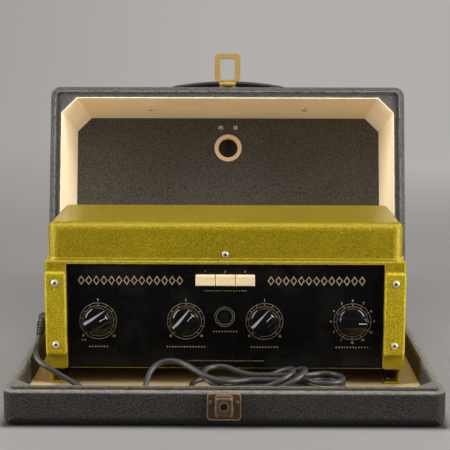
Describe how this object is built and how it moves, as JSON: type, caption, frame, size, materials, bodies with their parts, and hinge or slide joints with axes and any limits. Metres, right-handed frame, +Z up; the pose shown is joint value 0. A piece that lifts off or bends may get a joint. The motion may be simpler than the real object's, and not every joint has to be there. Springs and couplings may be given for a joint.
{
  "type": "magnetic drum echo unit",
  "caption": "Gold hammered-metal drum echo unit with a black control panel of knobs, push keys and a level window, standing in its open grey carrying case with the mains cord stowed in front.",
  "frame": {"origin": "middle of the underside of the case's tray, on the table", "axes": "+X to the right as seen from the controls, +Y to the back, towards the lid, +Z up"},
  "size_m": [0.458, 0.5554, 0.3729],
  "materials": {
    "case_vinyl": "grained grey covering over plywood",
    "cream_lining": "cream painted board",
    "dark_lining": "dark textured board",
    "pad_leather": "worn black leather",
    "brass": "aged",
    "nickel": "dull nickel plate",
    "hammer_gold": "hammered lacquer",
    "panel_black": "polished",
    "steel_plate": "plated sheet",
    "drum_metal": "turned",
    "can_aluminium": "drawn",
    "valve_glass": "clear",
    "bakelite": "moulded, glossy",
    "eye_dark": "dark glass",
    "ivory": "satin",
    "black_rubber": "matt",
    "cord_grey": "matt"
  },
  "bodies": {
    "base": {"tray_carcass": "case_vinyl", "tray_lining": "cream_lining", "lock_case": "brass", "hinge_base_leaves": "brass", "drum_bearing": "brass", "lock_screws": "nickel", "foot_bolts": "nickel", "unit_screws": "nickel", "jack_sockets": "nickel", "record_heads": "nickel", "playback_heads": "nickel", "body_shell": "hammer_gold", "bottom_plate": "hammer_gold", "cheek_left": "hammer_gold", "cheek_right": "hammer_gold", "top_cover": "hammer_gold", "foot_rails": "hammer_gold", "front_panel": "panel_black", "drum_deck": "steel_plate", "head_bracket": "steel_plate", "amp_chassis": "steel_plate", "key_frame": "steel_plate", "idler_post": "steel_plate", "motor_can": "steel_plate", "potentiometers": "steel_plate", "selector_switch": "steel_plate", "mains_transformer": "steel_plate", "smoothing_cans": "can_aluminium", "valves": "valve_glass", "indicator_bezel": "bakelite", "mains_plug": "bakelite", "indicator_tube": "eye_dark", "cord_gland": "black_rubber", "cord_run": "cord_grey", "cord_hank": "cord_grey"},
    "lid": {"lid_carcass": "case_vinyl", "lid_lining": "cream_lining", "lid_panel": "dark_lining", "port_ring": "cream_lining", "port_cover": "pad_leather", "port_screws": "nickel", "hinge_lid_leaves": "brass", "handle_strap": "pad_leather", "handle_clamps": "brass", "handle_bolts": "brass", "hasp_plate": "brass"},
    "hasp": {"hasp_loop": "brass"},
    "lock_barrel_body": {"lock_barrel": "brass"},
    "lock_bolt_body": {"lock_bolt": "brass"},
    "drum_body": {"drum": "drum_metal"},
    "idler_body": {"idler_wheel": "black_rubber"},
    "motor_rotor": {"motor_spindle": "nickel"},
    "knob_1_body": {"knob_1": "bakelite"},
    "knob_2_body": {"knob_2": "bakelite"},
    "knob_3_body": {"knob_3": "bakelite"},
    "knob_4_body": {"knob_4": "bakelite"},
    "key_1_body": {"key_1": "ivory"},
    "key_2_body": {"key_2": "ivory"},
    "key_3_body": {"key_3": "ivory"}
  },
  "joints": [
    {"name": "lid_hinge", "type": "hinge", "parent": "base", "child": "lid", "pos_m": [0, 0.1524, 0.037], "axis": [1, 0, 0], "range_deg": [0, 103.8]},
    {"name": "hasp_hinge", "type": "hinge", "parent": "lid", "child": "hasp", "pos_m": [0, 0.22974, 0.33382], "axis": [1, 0, 0], "range_deg": [-80, 90]},
    {"name": "lock_turn", "type": "hinge", "parent": "base", "child": "lock_barrel_body", "pos_m": [0, -0.16, 0.0255], "axis": [0, 1, 0], "range_deg": [0, 90]},
    {"name": "lock_slide", "type": "slide", "parent": "base", "child": "lock_bolt_body", "axis": [0, 0, -1], "range_m": [0, 0.009]},
    {"name": "drum_spin", "type": "hinge", "parent": "base", "child": "drum_body", "pos_m": [-0.07, 0.0345, 0.165], "axis": [0, 0, 1], "continuous": true},
    {"name": "idler_spin", "type": "hinge", "parent": "base", "child": "idler_body", "pos_m": [-0.13512, 0.0582, 0.163], "axis": [0, 0, 1], "continuous": true},
    {"name": "motor_spin", "type": "hinge", "parent": "base", "child": "motor_rotor", "pos_m": [-0.15326, 0.0516, 0.163], "axis": [0, 0, 1], "continuous": true},
    {"name": "knob_1_turn", "type": "hinge", "parent": "base", "child": "knob_1_body", "pos_m": [-0.1414, -0.045, 0.0845], "axis": [0, 1, 0], "range_deg": [-194, 76]},
    {"name": "knob_2_turn", "type": "hinge", "parent": "base", "child": "knob_2_body", "pos_m": [-0.0437, -0.045, 0.0845], "axis": [0, 1, 0], "range_deg": [-177, 93]},
    {"name": "knob_3_turn", "type": "hinge", "parent": "base", "child": "knob_3_body", "pos_m": [0.0437, -0.045, 0.0845], "axis": [0, 1, 0], "range_deg": [-180, 90]},
    {"name": "knob_4_turn", "type": "hinge", "parent": "base", "child": "knob_4_body", "pos_m": [0.1414, -0.045, 0.0845], "axis": [0, 1, 0], "range_deg": [-240, 90]},
    {"name": "key_1_press", "type": "slide", "parent": "base", "child": "key_1_body", "axis": [0, 1, 0], "range_m": [0, 0.004], "stiffness_N_per_m": 300},
    {"name": "key_2_press", "type": "slide", "parent": "base", "child": "key_2_body", "axis": [0, 1, 0], "range_m": [0, 0.004], "stiffness_N_per_m": 300},
    {"name": "key_3_press", "type": "slide", "parent": "base", "child": "key_3_body", "axis": [0, 1, 0], "range_m": [0, 0.004], "stiffness_N_per_m": 300}
  ],
  "couplings": [
    {"joint": "lock_turn", "follows": "lock_slide", "rad_per_m": 174.5},
    {"joint": "idler_spin", "follows": "drum_spin", "ratio": -3.9286},
    {"joint": "motor_spin", "follows": "drum_spin", "ratio": 11}
  ]
}
